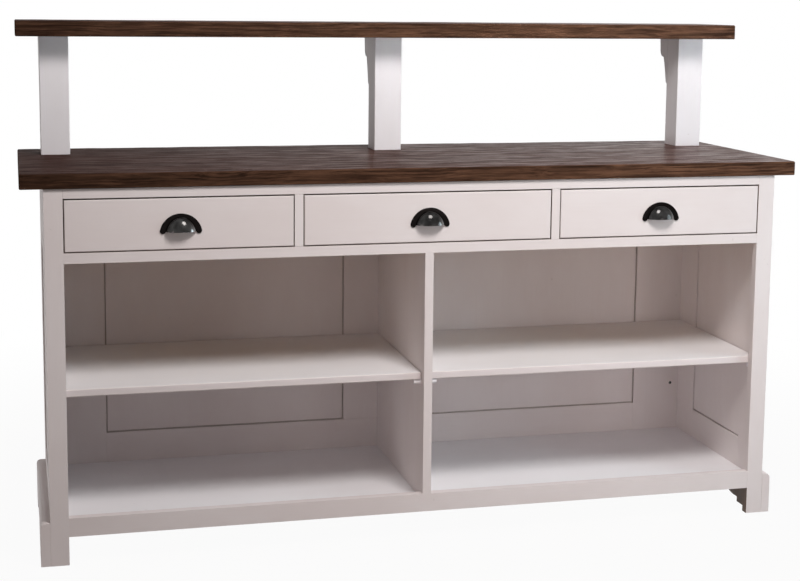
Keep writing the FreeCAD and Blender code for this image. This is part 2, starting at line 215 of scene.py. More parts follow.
def makeBoardGrain(g):
    tree, given, results = newGroup("boardGrain", {"Fineness": 1.0, "Waviness": 0.5},
                                    ("Streak", "Figure", "Pores", "Relief"))
    place = scaled(tree, given["Place"], given["Fineness"])
    sway = mathNode(tree, "SUBTRACT", stretchedNoise(tree, place, g["sway"], detail=2.0), 0.5)
    sway = product(tree, sway, product(tree, given["Waviness"], g["swayReach"]))
    bent = vectorNode(tree, "ADD", place, combine(tree, Y=sway, Z=sway))
    figure = stretchedNoise(tree, bent, g["figure"], rough=0.6)
    streak = stretchedNoise(tree, bent, g["streak"], detail=5.0, rough=0.62)
    pores = between(tree, stretchedNoise(tree, bent, g["pores"], rough=0.6), *g["poreSpan"])
    relief = mathNode(tree, "ADD", product(tree, figure, g["figureRelief"]), streak)
    relief = mathNode(tree, "SUBTRACT", relief, product(tree, pores, g["poreRelief"]))
    return giveOut(tree, results, Streak=streak, Figure=figure, Pores=pores, Relief=relief)


def makePaintFilm(f):
    tree, given, results = newGroup("paintFilm", {}, ("Patch", "Brush", "Speck"))
    patch = stretchedNoise(tree, given["Place"], f["patch"], detail=4.0, rough=0.6)
    brush = stretchedNoise(tree, given["Place"], f["brush"], detail=4.0, rough=0.6)
    speck = noiseAt(tree, given["Place"], f["speck"], detail=2.0, rough=0.5)
    return giveOut(tree, results, Patch=patch, Brush=brush, Speck=speck)


def makeRubbedMetal(r):
    tree, given, results = newGroup("rubbedMetal", {"Grit": 1.0}, ("Cloud", "Scuff", "Pit"))
    place = scaled(tree, given["Place"], given["Grit"])
    cloud = noiseAt(tree, place, r["cloud"], detail=4.0, rough=0.6)
    scuff = between(tree, stretchedNoise(tree, place, r["scuff"]), *r["scuffSpan"])
    pit = noiseAt(tree, place, r["pit"], detail=2.0)
    return giveOut(tree, results, Cloud=cloud, Scuff=scuff, Pit=pit)


boardGrain = makeBoardGrain(grainShape)
paintFilm = makePaintFilm(filmShape)
rubbedMetal = makeRubbedMetal(rubShape)

grainTurn = {"x": (0, 0, 0), "y": (0, 0, -math.pi / 2), "z": (0, math.pi / 2, 0)}


def newMaterial(name, along="x"):
    material = bpy.data.materials.new(name)
    material.use_nodes = True
    tree = material.node_tree
    tree.nodes.clear()
    shader = tree.nodes.new("ShaderNodeBsdfPrincipled")
    output = tree.nodes.new("ShaderNodeOutputMaterial")
    tree.links.new(shader.outputs[0], output.inputs[0])
    coordinates = tree.nodes.new("ShaderNodeTexCoord").outputs["Object"]
    turned = addNode(tree, "ShaderNodeMapping", {"Vector": coordinates, "Rotation": grainTurn[along]})
    return material, tree, shader, turned.outputs[0]


def bumpInto(tree, shader, height, strength, distance):
    bump = addNode(tree, "ShaderNodeBump", {"Strength": strength, "Distance": distance, "Height": height})
    tree.links.new(bump.outputs[0], shader.inputs["Normal"])


# satin paint, brushed along the boards: yellowed on the frame, cleaner on the posts, cleanest on the shelves
paints = {
    "whitePaint": {"fresh": (0.800, 0.738, 0.730), "aged": (0.765, 0.692, 0.680),
                   "grime": (0.56, 0.50, 0.47), "satin": (0.40, 0.58)},
    "cleanPaint": {"fresh": (0.873, 0.842, 0.860), "aged": (0.848, 0.812, 0.826),
                   "grime": (0.60, 0.55, 0.53), "satin": (0.38, 0.55)},
    "shelfPaint": {"fresh": (0.910, 0.892, 0.906), "aged": (0.885, 0.860, 0.870),
                   "grime": (0.60, 0.55, 0.53), "satin": (0.38, 0.55),
                   "front": (0.770, 0.700, 0.694)},      # painted shade on the front edges
}
paintCoat = {
    "grain": {"Fineness": 0.8, "Waviness": 0.8},
    "patchSpan": (0.32, 0.68),
    "thinSpan": (0.30, 0.46, 0.35, 0.0),     # grain showing through thin paint
    "spots": 34.0,
    "spotSpan": (0.70, 0.78, 0.0, 0.35),
    # faces that take the shelves' painted shade on their front edges
    "frontFacing": (-0.25, -0.55),
    "brushSpan": (0.3, 0.7),
    "brushRelief": 0.6,
    "grainRelief": 0.5,
    "speckRelief": 0.12,
    "bump": 0.5,
    "relief": 0.00035,
    "specular": 0.28,
}

# painted shade in wood colours: drawer gaps, insides of the feet, panel grooves and the cable hole
paintedShade = {
    "gap": (0.25, 0.185, 0.150),
    "foot": (0.120, 0.068, 0.043),
    "groove": (0.52, 0.455, 0.43),
    "hole": (0.020, 0.014, 0.011),
    "grooveHalf": 0.0072,
    "holeAt": (0.807, 0.215),       # x and z on the back
    "holeRadius": 0.0048,
    "slack": 0.0005,
    "edgeFacing": 0.6,              # an edge looks less than this to the front or the back
    "inward": -0.3,                 # of x times the normal's x
    "downward": -0.4,
}


def edgeMask(tree):
    return below(tree, absolute(tree, surfaceNormal(tree)["Y"]), paintedShade["edgeFacing"])


def paintGrooveShade(tree, colour, axis, panel):
    # painted shade in the grooves round the panel's field
    low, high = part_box(panel)
    middle = abs(getattr(low, axis) + getattr(high, axis)) / 2
    off = mathNode(tree, "SUBTRACT", absolute(tree, objectPlace(tree)[axis.upper()]), middle)
    sunk = below(tree, absolute(tree, off), paintedShade["grooveHalf"])
    return mixColours(tree, sunk, colour, paintedShade["groove"])


def paintHoleShade(tree, colour):
    # painted shade: the cable hole's walls are near black
    spot = objectPlace(tree)
    aside, up = (mathNode(tree, "SUBTRACT", spot[axis], at) for axis, at in zip("XZ", paintedShade["holeAt"]))
    out = mathNode(tree, "ADD", product(tree, aside, aside), product(tree, up, up))
    wall = product(tree, edgeMask(tree), below(tree, out, paintedShade["holeRadius"] ** 2))
    return mixColours(tree, wall, colour, paintedShade["hole"])


def paintGapShade(tree, colour):
    b = paintedShade
    slack, spot, facing = b["slack"], objectPlace(tree), surfaceNormal(tree)
    aside = absolute(tree, spot["X"])
    # painted shade on edges that look into the drawer openings
    openEnd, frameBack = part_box("front_stile_right")[0].x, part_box("top_rail")[1].y
    openLow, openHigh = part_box("middle_rail")[1].z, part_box("top_rail")[0].z
    gap = product(tree, edgeMask(tree), below(tree, spot["Y"], frameBack - slack),
                  below(tree, aside, openEnd + slack),
                  above(tree, spot["Z"], openLow - slack), below(tree, spot["Z"], openHigh + slack))
    colour = mixColours(tree, gap, colour, b["gap"])
    # painted shade on the inner faces of the feet and the undersides of the rails
    wallFace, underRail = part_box("front_stile_right")[1].x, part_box("bottom_rail")[0].z
    inward = below(tree, product(tree, spot["X"], facing["X"]), b["inward"])
    beneath = product(tree, below(tree, facing["Z"], b["downward"]),
                      above(tree, spot["Z"], underRail - slack))
    foot = product(tree, mathNode(tree, "MAXIMUM", inward, beneath), below(tree, aside, wallFace - slack),
                   below(tree, spot["Z"], underRail + slack))
    return mixColours(tree, foot, colour, b["foot"])


def makePaint(name, kind, along, paintShadeIn=None, *where):
    w, c = paints[kind], paintCoat
    material, tree, shader, place = newMaterial(name, along)
    film = placeGroup(tree, paintFilm, Place=place)
    grain = placeGroup(tree, boardGrain, Place=place, **c["grain"])
    colour = mixColours(tree, between(tree, film["Patch"], *c["patchSpan"]), w["aged"], w["fresh"])
    colour = mixColours(tree, between(tree, grain["Streak"], *c["thinSpan"]), colour, w["aged"])
    spots = between(tree, noiseAt(tree, place, c["spots"], rough=0.7), *c["spotSpan"])
    colour = mixColours(tree, spots, colour, w["grime"])
    # painted shade on faces that look to the front
    if "front" in w:
        front = between(tree, surfaceNormal(tree)["Y"], *c["frontFacing"])
        colour = mixColours(tree, front, colour, w["front"])
    # painted shade in the gaps, feet, grooves and cable hole, for finishes that take it
    if paintShadeIn:
        colour = paintShadeIn(tree, colour, *where)
    tree.links.new(colour, shader.inputs["Base Color"])
    tree.links.new(between(tree, film["Brush"], *c["brushSpan"], *w["satin"]), shader.inputs["Roughness"])
    height = mathNode(tree, "ADD", product(tree, grain["Relief"], c["grainRelief"]),
                      product(tree, film["Speck"], c["speckRelief"]))
    height = mathNode(tree, "ADD", product(tree, film["Brush"], c["brushRelief"]), height)
    bumpInto(tree, shader, height, c["bump"], c["relief"])
    shader.inputs["Specular IOR Level"].default_value = c["specular"]
    return material


# stained and brushed planks, joined side by side
darkWood = {
    "deep": (0.0150, 0.0082, 0.0055),
    "stain": (0.060, 0.0280, 0.0165),
    "bright": (0.168, 0.083, 0.049),
    "plankWidth": 0.1174,
    "plankFrom": -5.0,                        # planks are counted from far in front
    "plankTone": (0.92, 1.07),
    "plankShift": (7.0, 3.0),                 # each plank is cut from another stretch of the log
    "knots": (1.0, 3.2, 3.2),                 # dark eyes that push the grain aside
    "knotScale": 1.5,
    "knotSpan": (0.16, 0.0),
    "knotPush": (0.03, 0.022),
    "eyeSpan": (0.055, 0.015),
    "eyeShare": 0.85,
    "eyeRelief": 0.4,
    "grain": {"Fineness": 1.5, "Waviness": 0.8},
    "figureSpan": (0.22, 0.74),
    "streakSpan": (0.32, 0.70),
    "streakShare": 0.75,
    "poreShare": 0.6,
    "paintedShadeLeftEnd": (-0.9, 0.9, 0.50, 1.18),     # painted shade: the stain colour darkens towards the left end and lightens towards the right
    "dryEnd": (-0.9, 0.7, 0.26, 0.0),         # the planks are rougher towards the left end
    "waxEnd": (-0.7, 0.9, 0.05, 0.48),        # and kept more wax towards the right, on faces that look up
    "streakWax": (0.3, 1.5),
    "breaks": (11.0, 42.0, 42.0),             # patches where stain and wax took unevenly, per metre
    "breakSpan": (0.42, 0.61),
    "breakTone": (0.90, 1.18),
    "breakWax": (0.47, 1.45),
    "upwardSheenTint": (0.92, 0.80, 0.98),              # painted sheen: faces that look up get a cooler, greyer tone
    "upFacing": (0.75, 0.95),
    "gloss": (0.66, 0.38),                    # roughness between and on the streaks
    "bump": 0.55,
    "relief": 0.0012,
    "coatRough": 0.30,
    "coatIor": 1.35,
    "specular": 0.03,
}


def makeDarkWood():
    d = darkWood
    material, tree, shader, place = newMaterial("darkWood")
    spot = axesOf(tree, place)
    across = mathNode(tree, "SUBTRACT", spot["Y"], d["plankFrom"])
    plank = mathNode(tree, "FLOOR", mathNode(tree, "DIVIDE", across, d["plankWidth"]))
    lot = addNode(tree, "ShaderNodeTexWhiteNoise", {"W": plank}, noise_dimensions="1D").outputs["Value"]
    shiftX, shiftZ = (product(tree, lot, reach) for reach in d["plankShift"])
    moved = vectorNode(tree, "ADD", place, combine(tree, X=shiftX, Z=shiftZ))
    cells = addNode(tree, "ShaderNodeTexVoronoi", {"Vector": vectorNode(tree, "MULTIPLY", moved, d["knots"]),
                                                   "Scale": d["knotScale"], "Randomness": 1.0})
    knot = between(tree, cells.outputs["Distance"], *d["knotSpan"])
    eye = between(tree, cells.outputs["Distance"], *d["eyeSpan"])
    pushY, pushZ = (product(tree, knot, reach) for reach in d["knotPush"])
    bent = vectorNode(tree, "ADD", moved, combine(tree, Y=pushY, Z=pushZ))
    grain = placeGroup(tree, boardGrain, Place=bent, **d["grain"])
    streak = between(tree, grain["Streak"], *d["streakSpan"])
    broken = stretchedNoise(tree, moved, d["breaks"], rough=0.6)
    upward = between(tree, surfaceNormal(tree)["Z"], *d["upFacing"])
    # colour of the stain
    colour = mixColours(tree, between(tree, grain["Figure"], *d["figureSpan"]), d["deep"], d["stain"])
    colour = mixColours(tree, product(tree, streak, d["streakShare"]), colour, d["bright"])
    colour = mixColours(tree, product(tree, grain["Pores"], d["poreShare"]), colour, d["deep"])
    colour = mixColours(tree, product(tree, eye, d["eyeShare"]), colour, d["deep"])
    # random plank tone and patches, times painted shade towards the left end
    tone = product(tree, between(tree, lot, 0.0, 1.0, *d["plankTone"], smooth=False),
                   between(tree, spot["X"], *d["paintedShadeLeftEnd"], smooth=False),
                   between(tree, broken, *d["breakSpan"], *d["breakTone"]))
    toned = scaled(tree, colour, tone)
    # painted sheen: cooler, greyer tone on faces that look up
    upwardSheenTint = vectorNode(tree, "MULTIPLY", toned, d["upwardSheenTint"])
    tree.links.new(mixColours(tree, upward, toned, upwardSheenTint), shader.inputs["Base Color"])
    # gloss, relief and wax
    rough = mathNode(tree, "ADD", between(tree, streak, 0.0, 1.0, *d["gloss"]),
                     between(tree, spot["X"], *d["dryEnd"], smooth=False))
    tree.links.new(rough, shader.inputs["Roughness"])
    height = mathNode(tree, "SUBTRACT", grain["Relief"], product(tree, eye, d["eyeRelief"]))
    bumpInto(tree, shader, height, d["bump"], d["relief"])
    wax = product(tree, between(tree, spot["X"], *d["waxEnd"], smooth=False),
                  between(tree, streak, 0.0, 1.0, *d["streakWax"]),
                  between(tree, broken, *d["breakSpan"], *d["breakWax"]), upward)
    tree.links.new(wax, shader.inputs["Coat Weight"])
    shader.inputs["Coat Roughness"].default_value = d["coatRough"]
    shader.inputs["Coat IOR"].default_value = d["coatIor"]
    shader.inputs["Specular IOR Level"].default_value = d["specular"]
    return material


# planed pine of the drawer boxes and runners
barePine = {
    "pale": (0.66, 0.49, 0.30),
    "summer": (0.50, 0.33, 0.175),
    "resin": (0.30, 0.17, 0.085),
    "grain": {"Fineness": 0.55, "Waviness": 1.6},
    "figureSpan": (0.35, 0.65),
    "poreShare": 0.3,
    "patchSpan": (0.4, 0.7, 0.0, 0.3),
    "roughSpan": (0.3, 0.7, 0.55, 0.72),
    "bump": 0.4,
    "relief": 0.0004,
    "specular": 0.3,
}


def makeBarePine(name, along):
    p = barePine
    material, tree, shader, place = newMaterial(name, along)
    grain = placeGroup(tree, boardGrain, Place=place, **p["grain"])
    film = placeGroup(tree, paintFilm, Place=place)
    colour = mixColours(tree, between(tree, grain["Figure"], *p["figureSpan"]), p["pale"], p["summer"])
    colour = mixColours(tree, product(tree, grain["Pores"], p["poreShare"]), colour, p["resin"])
    colour = mixColours(tree, between(tree, film["Patch"], *p["patchSpan"]), colour, p["summer"])
    tree.links.new(colour, shader.inputs["Base Color"])
    tree.links.new(between(tree, grain["Streak"], *p["roughSpan"]), shader.inputs["Roughness"])
    bumpInto(tree, shader, grain["Relief"], p["bump"], p["relief"])
    shader.inputs["Specular IOR Level"].default_value = p["specular"]
    return material


# dark bronzed castings and bright plated steel
metalFinish = {
    "gunmetal": {"dark": (0.020, 0.0190, 0.0186), "light": (0.047, 0.0455, 0.0448),
                 # the plate is darker than the dome: painted shade for the plate's darker reflections,
                 # partly a blacker finish
                 "scuff": (0.075, 0.073, 0.071), "plate": (0.0070, 0.0052, 0.0050),
                 "rubAndGlint": (0.30, 0.29, 0.285), "rough": (0.10, 0.16), "grit": 1.0, "relief": 0.00012},
    "steel": {"dark": (0.42, 0.42, 0.43), "light": (0.60, 0.60, 0.61), "scuff": (0.70, 0.70, 0.70),
              "rough": (0.26, 0.44), "grit": 2.0, "relief": 0.0001},
}
metalCoat = {
    "cloudSpan": (0.35, 0.7),
    "scuffShare": 0.35,
    "plateShare": 0.94,
    "roughSpan": (0.3, 0.7),
    "bump": 0.3,
}


def makeMetal(name):
    m, c = metalFinish[name], metalCoat
    material, tree, shader, place = newMaterial(name)
    metal = placeGroup(tree, rubbedMetal, Place=place, Grit=m["grit"])
    colour = mixColours(tree, between(tree, metal["Cloud"], *c["cloudSpan"]), m["dark"], m["light"])
    colour = mixColours(tree, product(tree, metal["Scuff"], c["scuffShare"]), colour, m["scuff"])
    # painted shade on the plate
    if "plate" in m:
        mark = addNode(tree, "ShaderNodeAttribute", attribute_name="plate").outputs["Fac"]
        colour = mixColours(tree, product(tree, mark, c["plateShare"]), colour, m["plate"])
        # painted highlight at the ends of the lip, with a little rubbing
        worn = addNode(tree, "ShaderNodeAttribute", attribute_name="rubAndGlint").outputs["Fac"]
        colour = mixColours(tree, worn, colour, m["rubAndGlint"])
    tree.links.new(colour, shader.inputs["Base Color"])
    tree.links.new(between(tree, metal["Cloud"], *c["roughSpan"], *m["rough"]), shader.inputs["Roughness"])
    bumpInto(tree, shader, metal["Pit"], c["bump"], m["relief"])
    shader.inputs["Metallic"].default_value = 1.0
    return material


finishes = {"darkWood": makeDarkWood(), "gunmetal": makeMetal("gunmetal"), "steel": makeMetal("steel")}
for along in "xyz":
    finishes["whitePaint_" + along] = makePaint("whitePaint_" + along, "whitePaint", along, paintGapShade)
for along in "xy":
    finishes["barePine_" + along] = makeBarePine("barePine_" + along, along)
finishes["cleanPaint"] = makePaint("cleanPaint", "cleanPaint", "z")
finishes["shelfPaint"] = makePaint("shelfPaint", "shelfPaint", "x")
finishes["sidePanel"] = makePaint("sidePanel", "whitePaint", "z", paintGrooveShade, "x", "side_right_panel")
finishes["backPanel"] = makePaint("backPanel", "whitePaint", "z", paintGrooveShade, "y", "back_panel_right")
finishes["drilledStile"] = makePaint("drilledStile", "whitePaint", "z", paintHoleShade)
print("finishes made:", len(finishes))

# mesh helpers
meshCare = {
    "mergeAt": 1e-6,
    "weldAt": 1e-5,         # for the loose triangles of a CAD mesh
    "sharpFrom": 38.0,      # degrees
    "evenWeight": 80,
}


def pieceFrom(name, verts, faces, material, sharpFrom=meshCare["sharpFrom"], marks=None):
    mesh = bpy.data.meshes.new(name)
    mesh.from_pydata([tuple(v) for v in verts], [], faces)
    for label, values in (marks or {}).items():
        mesh.attributes.new(label, "FLOAT", "FACE").data.foreach_set("value", values)
    work = bmesh.new()
    work.from_mesh(mesh)
    bmesh.ops.remove_doubles(work, verts=work.verts, dist=meshCare["mergeAt"])
    bmesh.ops.dissolve_degenerate(work, edges=work.edges, dist=meshCare["mergeAt"])
    bmesh.ops.recalc_face_normals(work, faces=work.faces)
    for face in work.faces:
        face.smooth = True
    work.to_mesh(mesh)
    work.free()
    mesh.set_sharp_from_angle(angle=math.radians(sharpFrom))
    mesh.materials.append(material)
    piece = bpy.data.objects.new(name, mesh)
    scene.collection.objects.link(piece)
    return piece


def evenShading(piece):
    # wide faces stay flat beside narrow ones
    even = piece.modifiers.new("even", "WEIGHTED_NORMAL")
    even.mode = "FACE_AREA"
    even.weight = meshCare["evenWeight"]


def settle(piece, body, slotName, *replaced):
    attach(piece, body)
    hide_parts(*replaced)


def loft(rings):
    count = len(rings[0])
    last = (len(rings) - 1) * count
    faces = []
    for k in range(0, last, count):
        for i in range(count):
            j = (i + 1) % count
            faces.append((k + i, k + j, k + count + j, k + count + i))
    faces.append(tuple(reversed(range(count))))
    faces.append(tuple(last + i for i in range(count)))
    return [p for ring in rings for p in ring], faces


# worktop and bar shelf: planks with fine joint lines and edges worn a little uneven
slabShape = {
    "topRound": 0.0032,
    "lowRound": 0.0012,
    "roundTurns": (0, 22.5, 45, 67.5, 90),
    "jointDepth": 0.00015,
    "jointHalf": 0.0006,
    "jointMargin": 0.02,                                  # no joint nearer to an edge
    "wear": 0.0009,
    "lowWear": 0.3,                                       # share of it on the lower edges
    "evenWear": 0.25,
    "wearWaves": ((6.0, 0.3, 0.7), (31.0, 4.7, 0.55)),    # waves per metre, noise row, share
    "edgeRows": (2.0, 5.0),
    "wearDown": 0.8,
    "step": 0.012,
    "endInset": ((0.0, 0.0026), (0.0007, 0.0011), (0.0018, 0.0003), (0.0032, 0.0)),
}


def slabSection(low, high, joints):
    s = slabShape
    points = []

    def corner(y, z, radius, start, worn):
        for degrees in s["roundTurns"]:
            a = start + math.radians(degrees)
            points.append((y + radius * math.cos(a), z + radius * math.sin(a), worn))

    top, bottom, half = s["topRound"], s["lowRound"], s["jointHalf"]
    corner(low.y + bottom, low.z + bottom, bottom, math.pi, s["lowWear"])
    corner(high.y - bottom, low.z + bottom, bottom, 1.5 * math.pi, s["lowWear"])
    corner(high.y - top, high.z - top, top, 0.0, 1.0)
    for y in sorted(joints, reverse=True):
        points.append((y + half, high.z, 0.0))
        points.append((y, high.z - s["jointDepth"], 0.0))
        points.append((y - half, high.z, 0.0))
    corner(low.y + top, high.z - top, top, 0.5 * math.pi, 1.0)
    return points


def plankJoints(low, high):
    width, start, margin = darkWood["plankWidth"], darkWood["plankFrom"], slabShape["jointMargin"]
    joints = []
    y = math.floor((low.y - start) / width) * width + start
    while y < high.y:
        if low.y + margin < y < high.y - margin:
            joints.append(y)
        y += width
    return joints


def slabStations(low, high):
    s = slabShape
    ends = s["endInset"]
    span = high.x - low.x - 2 * ends[-1][0]
    count = round(span / s["step"])
    stations = [(low.x + x, inset) for x, inset in ends]
    stations += [(low.x + ends[-1][0] + span * k / count, 0.0) for k in range(1, count)]
    return stations + [(high.x - x, inset) for x, inset in reversed(ends)]


def wornAway(x, inY, inZ, worn, seed):
    s = slabShape
    edge = s["edgeRows"][0] * inY + s["edgeRows"][1] * inZ + seed
    depth = s["evenWear"]
    for waves, row, share in s["wearWaves"]:
        depth += share * noise.noise(Vector((x * waves, edge, row)))
    return s["wear"] * worn * max(0.0, depth)


def makeSlab(name, node, seed):
    low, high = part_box(node)
    section = slabSection(low, high, plankJoints(low, high))
    middle = (low + high) / 2
    rings = []
    for x, inset in slabStations(low, high):
        ring = []
        for y, z, worn in section:
            inY = 1 if y > middle.y else -1
            inZ = 1 if z > middle.z else -1
            nibble = wornAway(x, inY, inZ, worn, seed)
            # points on the flat move in less towards the middle
            reach = 1.0 if worn else min(1.0, abs(y - middle.y) * 2 / (high.y - low.y))
            ring.append(Vector((x, y - inY * (inset + nibble) * reach,
                                z - inZ * (inset + nibble * slabShape["wearDown"]))))
        rings.append(ring)
    slab = pieceFrom(name, *loft(rings), finishes["darkWood"])
    evenShading(slab)
    settle(slab, "carcass", "dark_wood", node)


makeSlab("worktopPlanks", "worktop", 1.7)
makeSlab("barShelfPlanks", "bar_shelf", 8.3)
print("planks made")

# cup pull: a thin cast dome open below, on an arched and crowned plate with rounded tips
pullShape = {
    "radius": 0.0467,
    "band": 0.0130,
    "plate": 0.0026,
    "crown": ((-1.0, 0.0), (-1.0, 0.6), (-0.95, 0.85), (-0.84, 0.97), (-0.66, 1.0),
              (0.66, 1.0), (0.84, 0.97), (0.95, 0.85), (1.0, 0.6), (1.0, 0.0)),
    "archSteps": 60,
    "tipUp": 0.0090,
    "tipSteps": 9,
    "tipLeast": 0.004,      # share of the band's width that is left at the very tip
    "tipThin": 0.6,         # and of its thickness
    "tipEase": 2.5,
    "domeAside": 0.0343,
    "domeUp": 0.0400,
    "reach": 0.0224,
    "fullness": 1.95,       # 2 would be an ellipse
    "wall": 0.0016,
    "lipUp": 0.0075,
    "around": 56,
    "outward": 16,
    "rubAndGlintUp": 0.0200,        # painted highlight on the ends of the lip, with a little finger rubbing
    "rubAndGlintFrom": 0.50,        # share of the half width where it begins
    "rubAndGlintOver": 0.45,
    "rubAndGlintLeft": 0.06,        # the left end gets little of the painted highlight
    "bossAside": 0.0200,
    "bossUp": 0.0160,
    "bossRadius": 0.0045,
    "bossSides": 24,
    "sharpFrom": 40.0,
}


def domeDepth(p, wall, x, z):
    out = math.hypot(x / (p["domeAside"] - wall), z / (p["domeUp"] - wall))
    return (p["reach"] - wall) * max(0.0, 1.0 - out ** p["fullness"]) ** (1.0 / p["fullness"])


def domeFace(p, wall):
    aside, up, lip = p["domeAside"] - wall, p["domeUp"] - wall, p["lipUp"]
    points = []
    for i in range(p["around"] + 1):
        angle = math.pi * i / p["around"]
        c, s = math.cos(angle), math.sin(angle)
        # distance from the lip's middle to the rim of the ellipse
        square, linear = (c / aside) ** 2 + (s / up) ** 2, lip * s / up ** 2
        far = (math.sqrt(linear ** 2 + square * (1.0 - (lip / up) ** 2)) - linear) / square
        for j in range(p["outward"] + 1):
            out = far * math.sin(0.5 * math.pi * j / p["outward"])
            x, z = out * c, lip + out * s
            points.append(Vector((x, -domeDepth(p, wall, x, z), z)))
    return points


def domeMesh(p):
    verts = domeFace(p, 0.0)
    inner = len(verts)                  # from a point outside to its like inside
    verts += domeFace(p, p["wall"])
    wide = p["outward"] + 1
    faces = []
    for i in range(p["around"]):
        for j in range(p["outward"]):
            k = i * wide + j
            faces.append((k, k + 1, k + 1 + wide, k + wide))
            faces.append((inner + k, inner + k + wide, inner + k + 1 + wide, inner + k + 1))
        k = i * wide + p["outward"]
        faces.append((k, inner + k, inner + k + wide, k + wide))
    for i in (0, p["around"]):
        for j in range(p["outward"]):
            k = i * wide + j
            faces.append((k, inner + k, inner + k + 1, k + 1))
    return verts, faces


def plateMesh(p):
    # the crown's outline, swept round the arch and drawn in at the tips
    middle, half, steps = p["radius"] - p["band"] / 2, p["band"] / 2, p["archSteps"]
    tip = math.asin(p["tipUp"] / middle)
    turns = [math.radians(90.0 * k / p["tipSteps"]) for k in range(1, p["tipSteps"] + 1)]
    stations = [(tip, -half * math.sin(t), math.cos(t)) for t in reversed(turns)]
    stations += [(tip + (math.pi - 2 * tip) * k / steps, 0.0, 1.0) for k in range(steps + 1)]
    stations += [(math.pi - tip, half * math.sin(t), math.cos(t)) for t in turns]
    rings = []
    for angle, beyond, share in stations:
        out = Vector((math.cos(angle), 0, math.sin(angle)))
        along = Vector((-math.sin(angle), 0, math.cos(angle)))
        width = half * max(share, p["tipLeast"])
        thick = p["plate"] * (p["tipThin"] + (1.0 - p["tipThin"]) * min(1.0, p["tipEase"] * share))
        rings.append([out * (middle + u * width) + along * beyond - Vector((0, y * thick, 0))
                      for u, y in p["crown"]])
    return loft(rings)


def bossMesh(p, side):
    # cut off inside the dome's wall
    rings = [[], []]
    for k in range(p["bossSides"]):
        angle = side * 2 * math.pi * k / p["bossSides"]
        x = side * p["bossAside"] + p["bossRadius"] * math.cos(angle)
        z = p["bossUp"] + p["bossRadius"] * math.sin(angle)
        rings[0].append(Vector((x, 0, z)))
        rings[1].append(Vector((x, -domeDepth(p, p["wall"] / 2, x, z), z)))
    return loft(rings)


# painted highlight on the lip's ends, strongest at the right, with a little rubbing
def lipRubAndGlint(p, corners):
    x = sum(c.x for c in corners) / len(corners) / p["domeAside"]
    z = (sum(c.z for c in corners) / len(corners) - p["lipUp"]) / p["rubAndGlintUp"]
    end = max(0.0, min(1.0, (abs(x) - p["rubAndGlintFrom"]) / p["rubAndGlintOver"])) * max(0.0, 1.0 - z)
    return end * (1.0 if x > 0 else p["rubAndGlintLeft"])


def pullMesh(p, centre):
    verts, faces, plate, rubAndGlint = [], [], [], []
    for part, mesh in (("dome", domeMesh(p)), ("plate", plateMesh(p)),
                       ("boss", bossMesh(p, -1)), ("boss", bossMesh(p, 1))):
        start = len(verts)
        verts.extend(mesh[0])
        for face in mesh[1]:
            faces.append(tuple(start + i for i in face))
            plate.append(1.0 if part == "plate" else 0.0)
            rubAndGlint.append(lipRubAndGlint(p, [mesh[0][i] for i in face]) if part == "dome" else 0.0)
    return [centre + v for v in verts], faces, {"plate": plate, "rubAndGlint": rubAndGlint}


drawers = ("left", "mid", "right")
for side in drawers:
    low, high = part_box("drawer_%s_pull" % side)
    centre = Vector(((low.x + high.x) / 2, high.y, high.z - pullShape["radius"]))
    verts, faces, marks = pullMesh(pullShape, centre)
    piece = pieceFrom("cupPull_" + side, verts, faces, finishes["gunmetal"], pullShape["sharpFrom"], marks)
    settle(piece, "drawer_" + side, "gunmetal", "drawer_%s_pull" % side)
print("pulls made")


# pins and screws, set on points by one node tree
def makeSetOnPoints():
    tree = bpy.data.node_groups.new("setOnPoints", "GeometryNodeTree")
    for label, kind in (("Points", "NodeSocketGeometry"), ("Model", "NodeSocketObject"),
                        ("Finish", "NodeSocketMaterial")):
        tree.interface.new_socket(name=label, in_out="INPUT", socket_type=kind)
    tree.interface.new_socket(name="Pieces", in_out="OUTPUT", socket_type="NodeSocketGeometry")
    given, result = tree.nodes.new("NodeGroupInput"), tree.nodes.new("NodeGroupOutput")
    model = tree.nodes.new("GeometryNodeObjectInfo")
    turn = tree.nodes.new("GeometryNodeInputNamedAttribute")
    turn.data_type = "FLOAT_VECTOR"
    turn.inputs["Name"].default_value = "turn"
    toTurn = tree.nodes.new("FunctionNodeEulerToRotation")
    place = tree.nodes.new("GeometryNodeInstanceOnPoints")
    real = tree.nodes.new("GeometryNodeRealizeInstances")
    finish = tree.nodes.new("GeometryNodeSetMaterial")
    link = tree.links.new
    link(given.outputs["Model"], model.inputs["Object"])
    link(given.outputs["Points"], place.inputs["Points"])
    link(model.outputs["Geometry"], place.inputs["Instance"])
    link(turn.outputs["Attribute"], toTurn.inputs[0])
    link(toTurn.outputs[0], place.inputs["Rotation"])
    link(place.outputs[0], real.inputs[0])
    link(real.outputs[0], finish.inputs["Geometry"])
    link(given.outputs["Finish"], finish.inputs["Material"])
    link(finish.outputs[0], result.inputs[0])
    return tree


setOnPoints = makeSetOnPoints()


def setPieces(name, model, points, turns, finish):
    mesh = bpy.data.meshes.new(name + "Points")
    mesh.from_pydata([tuple(p) for p in points], [], [])
    turnData = mesh.attributes.new("turn", "FLOAT_VECTOR", "POINT")
    for k, t in enumerate(turns):
        turnData.data[k].vector = t
    carrier = bpy.data.objects.new(name + "Points", mesh)
    scene.collection.objects.link(carrier)
    modifier = carrier.modifiers.new("setOnPoints", "NODES")
    modifier.node_group = setOnPoints
    sockets = setOnPoints.interface.items_tree
    names = {item.name: item.identifier for item in sockets if item.in_out == "INPUT"}
    modifier[names["Model"]] = model
    modifier[names["Finish"]] = finish
    bpy.context.view_layer.update()
    made = bpy.data.meshes.new_from_object(carrier.evaluated_get(bpy.context.evaluated_depsgraph_get()))
    made.name = name
    carrier.modifiers.clear()
    bpy.data.objects.remove(carrier)
    piece = bpy.data.objects.new(name, made)
    scene.collection.objects.link(piece)
    return piece


